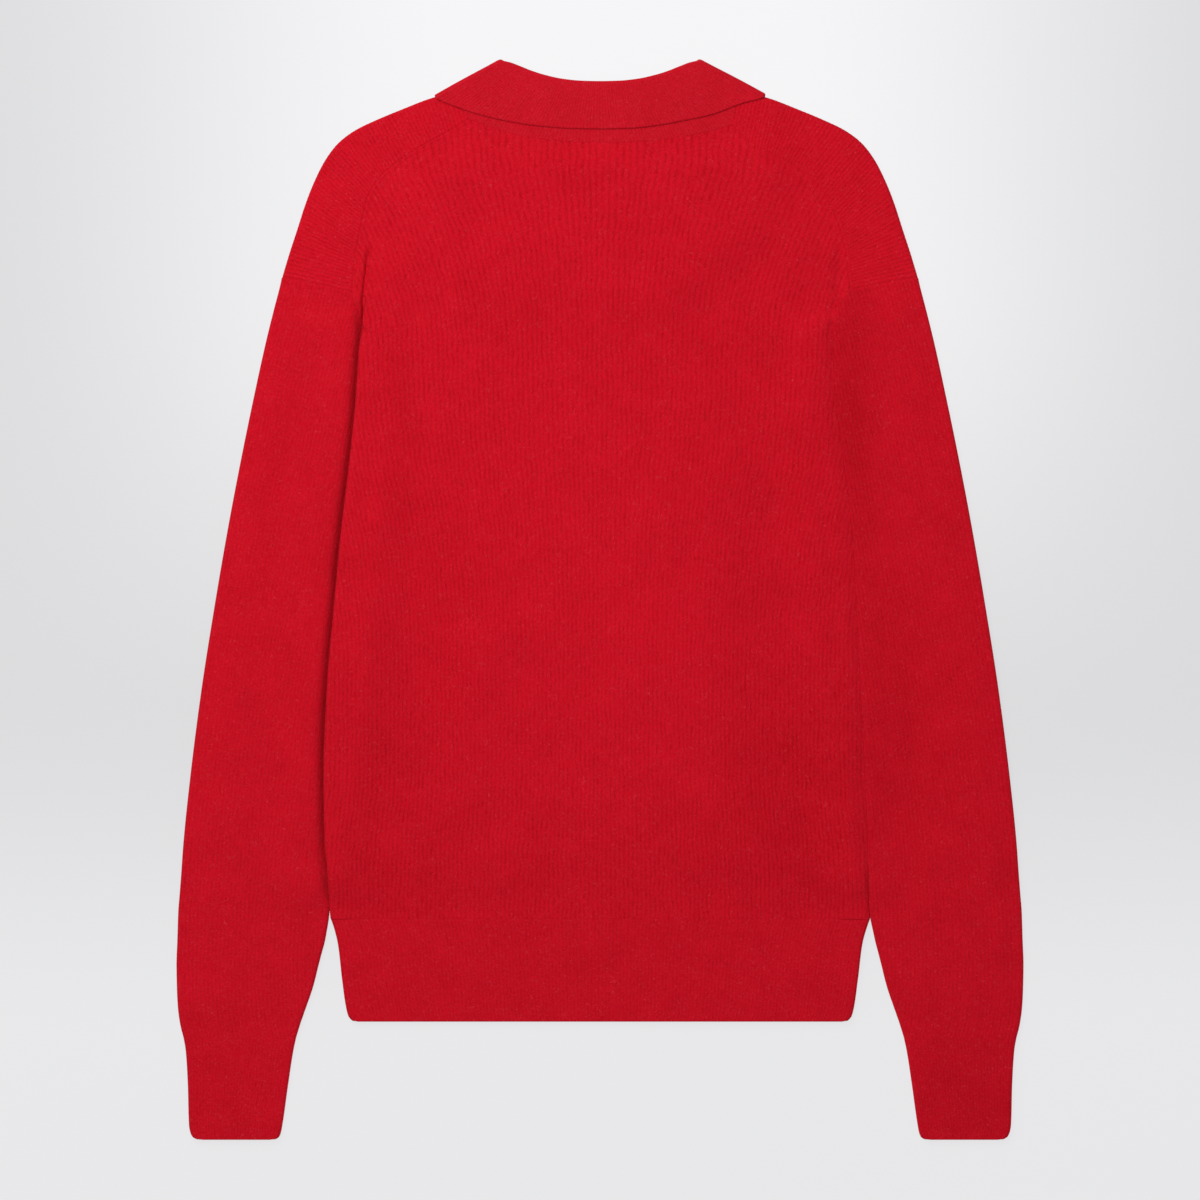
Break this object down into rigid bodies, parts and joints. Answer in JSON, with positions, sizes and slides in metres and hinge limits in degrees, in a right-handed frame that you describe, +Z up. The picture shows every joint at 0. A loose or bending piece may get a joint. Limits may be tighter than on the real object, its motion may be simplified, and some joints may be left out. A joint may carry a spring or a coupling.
{
  "type": "sweater",
  "caption": "Long-sleeved knitted sweater with a folded ribbed collar, saddle shoulders, ribbed cuffs and hem, laid flat with its back up.",
  "frame": {"origin": "centre of the garment's outline, on the surface that it lies on", "axes": "+Z up from the surface, out of the garment's back; +Y from the hem and cuffs towards the collar; +X to the right of someone who looks down on the back"},
  "size_m": [0.6096, 0.7767, 0.0132],
  "materials": {
    "knit": "brushed",
    "rib": "matt"
  },
  "bodies": {
    "root": {"back_panel": "knit", "front_panel": "knit", "saddle_left": "knit", "saddle_right": "knit", "sleeve_left": "knit", "sleeve_right": "knit", "collar": "rib", "hem_band": "rib", "cuff_left": "rib", "cuff_right": "rib"}
  },
  "joints": []
}
